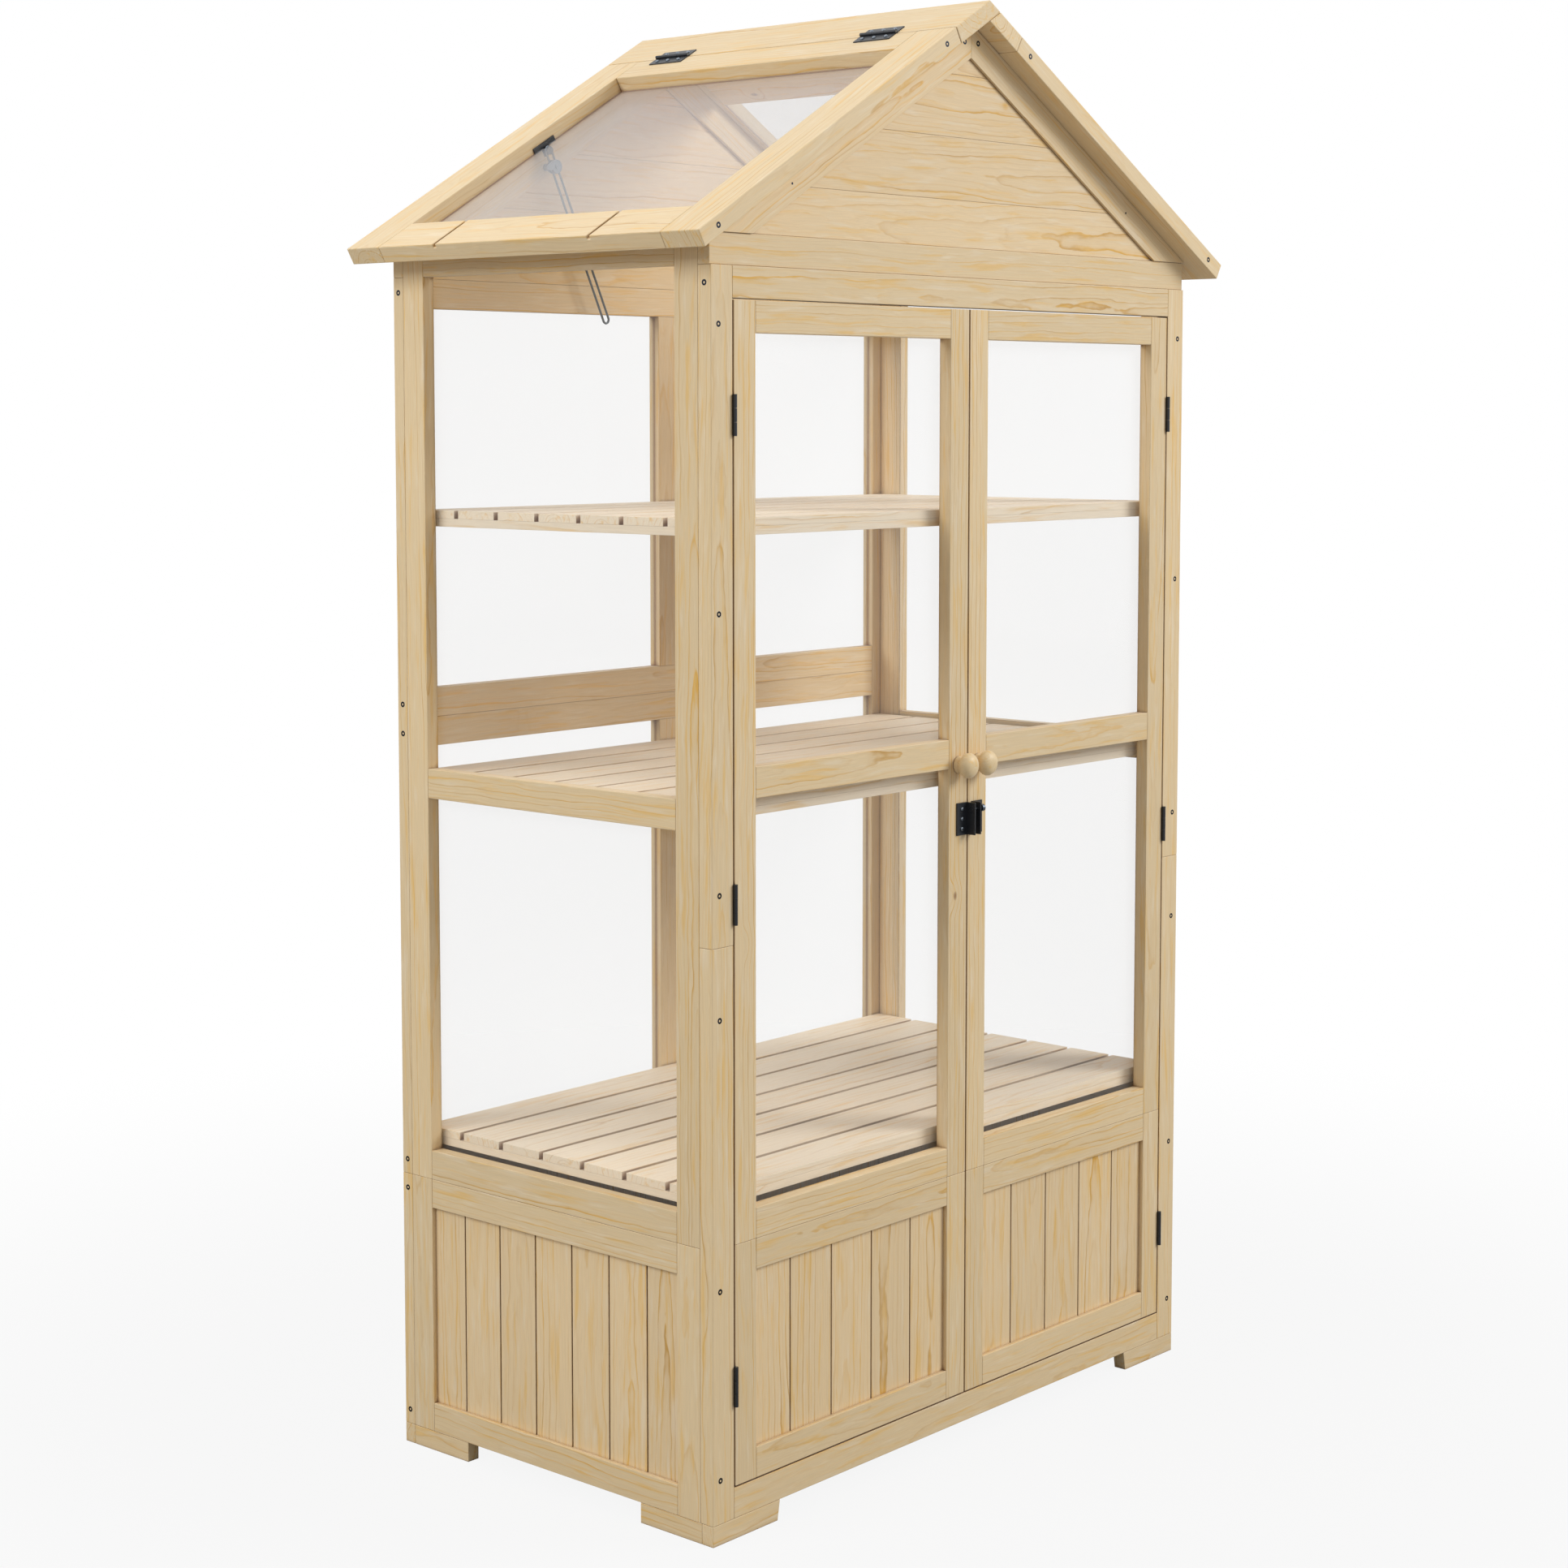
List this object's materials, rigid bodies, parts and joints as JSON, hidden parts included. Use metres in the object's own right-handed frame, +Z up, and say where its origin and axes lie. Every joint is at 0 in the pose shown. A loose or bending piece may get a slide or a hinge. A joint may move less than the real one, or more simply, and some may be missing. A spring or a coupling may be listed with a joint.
{
  "type": "wooden mini greenhouse",
  "caption": "Tall wooden greenhouse cabinet with glazed double doors, glazed sides, slatted shelves, a boarded base and a pitched roof with one hinged roof light on a stay.",
  "frame": {"origin": "on the ground, in the middle of the footprint", "axes": "+Z up, -Y towards the doors, +X to the right of a viewer who faces the doors"},
  "size_m": [0.885, 0.5, 1.5328],
  "materials": {
    "frame_wood": "planed pine",
    "board_wood": "planed pine, matched boards",
    "shelf_wood": "planed pine",
    "turned_wood": "turned pine",
    "glass": "clear",
    "roof_glass": "clear, hazy at a low angle",
    "black_steel": "black, satin",
    "bright_steel": "zinc plated",
    "screws": "dark blue-grey"
  },
  "bodies": {
    "cabinet": {"back_boards": "board_wood", "back_frame": "frame_wood", "back_gable_boards": "board_wood", "back_panes": "glass", "back_post_left": "frame_wood", "back_post_right": "frame_wood", "back_rafters": "frame_wood", "back_screws": "screws", "back_tie_beam": "frame_wood", "door_hinge_post_leaves": "black_steel", "feet_back": "frame_wood", "feet_front": "frame_wood", "front_gable_boards": "board_wood", "front_header": "frame_wood", "front_post_left": "frame_wood", "front_post_right": "frame_wood", "front_rafters": "frame_wood", "front_sill": "frame_wood", "front_tie_beam": "frame_wood", "hinge_pins": "bright_steel", "ridge_board_left": "frame_wood", "ridge_board_right": "frame_wood", "roof_right_frame": "frame_wood", "roof_right_pane": "roof_glass", "roof_screws": "screws", "sash_hinge_ridge_leaves": "black_steel", "shelf_cleats": "shelf_wood", "shelf_high": "shelf_wood", "shelf_low": "shelf_wood", "shelf_middle": "shelf_wood", "side_left_boards": "board_wood", "side_left_frame": "frame_wood", "side_left_panes": "glass", "side_right_boards": "board_wood", "side_right_frame": "frame_wood", "side_right_panes": "glass", "stay_base": "bright_steel", "wall_screws": "screws"},
    "door_left": {"door_left_frame": "frame_wood", "door_left_boards": "board_wood", "door_left_panes": "glass", "knob_left": "turned_wood", "door_left_hinge_leaves": "black_steel", "latch_bracket_left": "black_steel"},
    "door_right": {"door_right_frame": "frame_wood", "door_right_boards": "board_wood", "door_right_panes": "glass", "knob_right": "turned_wood", "door_right_hinge_leaves": "black_steel", "latch_bracket_right": "black_steel"},
    "latch_bolt": {"latch_bolt": "bright_steel"},
    "sash": {"sash_frame": "frame_wood", "sash_pane": "roof_glass", "sash_screws": "screws", "sash_hinge_leaves": "black_steel", "stay_bracket": "black_steel"},
    "stay_loop": {"stay_loop": "bright_steel"},
    "stay_clamp": {"stay_clamp": "bright_steel"}
  },
  "joints": [
    {"name": "door_left_hinge", "type": "hinge", "parent": "cabinet", "child": "door_left", "pos_m": [-0.3685, -0.2283, 0.63], "axis": [0, 0, -1], "range_deg": [0, 165]},
    {"name": "door_right_hinge", "type": "hinge", "parent": "cabinet", "child": "door_right", "pos_m": [0.3685, -0.2283, 0.63], "axis": [0, 0, 1], "range_deg": [0, 165]},
    {"name": "latch_bolt_slide", "type": "slide", "parent": "door_right", "child": "latch_bolt", "axis": [-1, 0, 0], "range_m": [-0.006, 0.0042]},
    {"name": "sash_hinge", "type": "hinge", "parent": "cabinet", "child": "sash", "pos_m": [-0.05779, 0, 1.50212], "axis": [0, 1, 0], "range_deg": [0, 55]},
    {"name": "stay_loop_pivot", "type": "hinge", "parent": "sash", "child": "stay_loop", "pos_m": [-0.20263, 0.196, 1.3916], "axis": [0, 1, 0], "range_deg": [-41.24, 0]},
    {"name": "stay_clamp_slide", "type": "slide", "parent": "stay_loop", "child": "stay_clamp", "axis": [0.4337, 0, -0.9011], "range_m": [0, 0.1681]}
  ],
  "couplings": [
    {"joint": "stay_loop_pivot", "follows": "sash_hinge", "ratio": -0.7407},
    {"joint": "stay_clamp_slide", "follows": "sash_hinge", "m_per_rad": 0.1746}
  ]
}
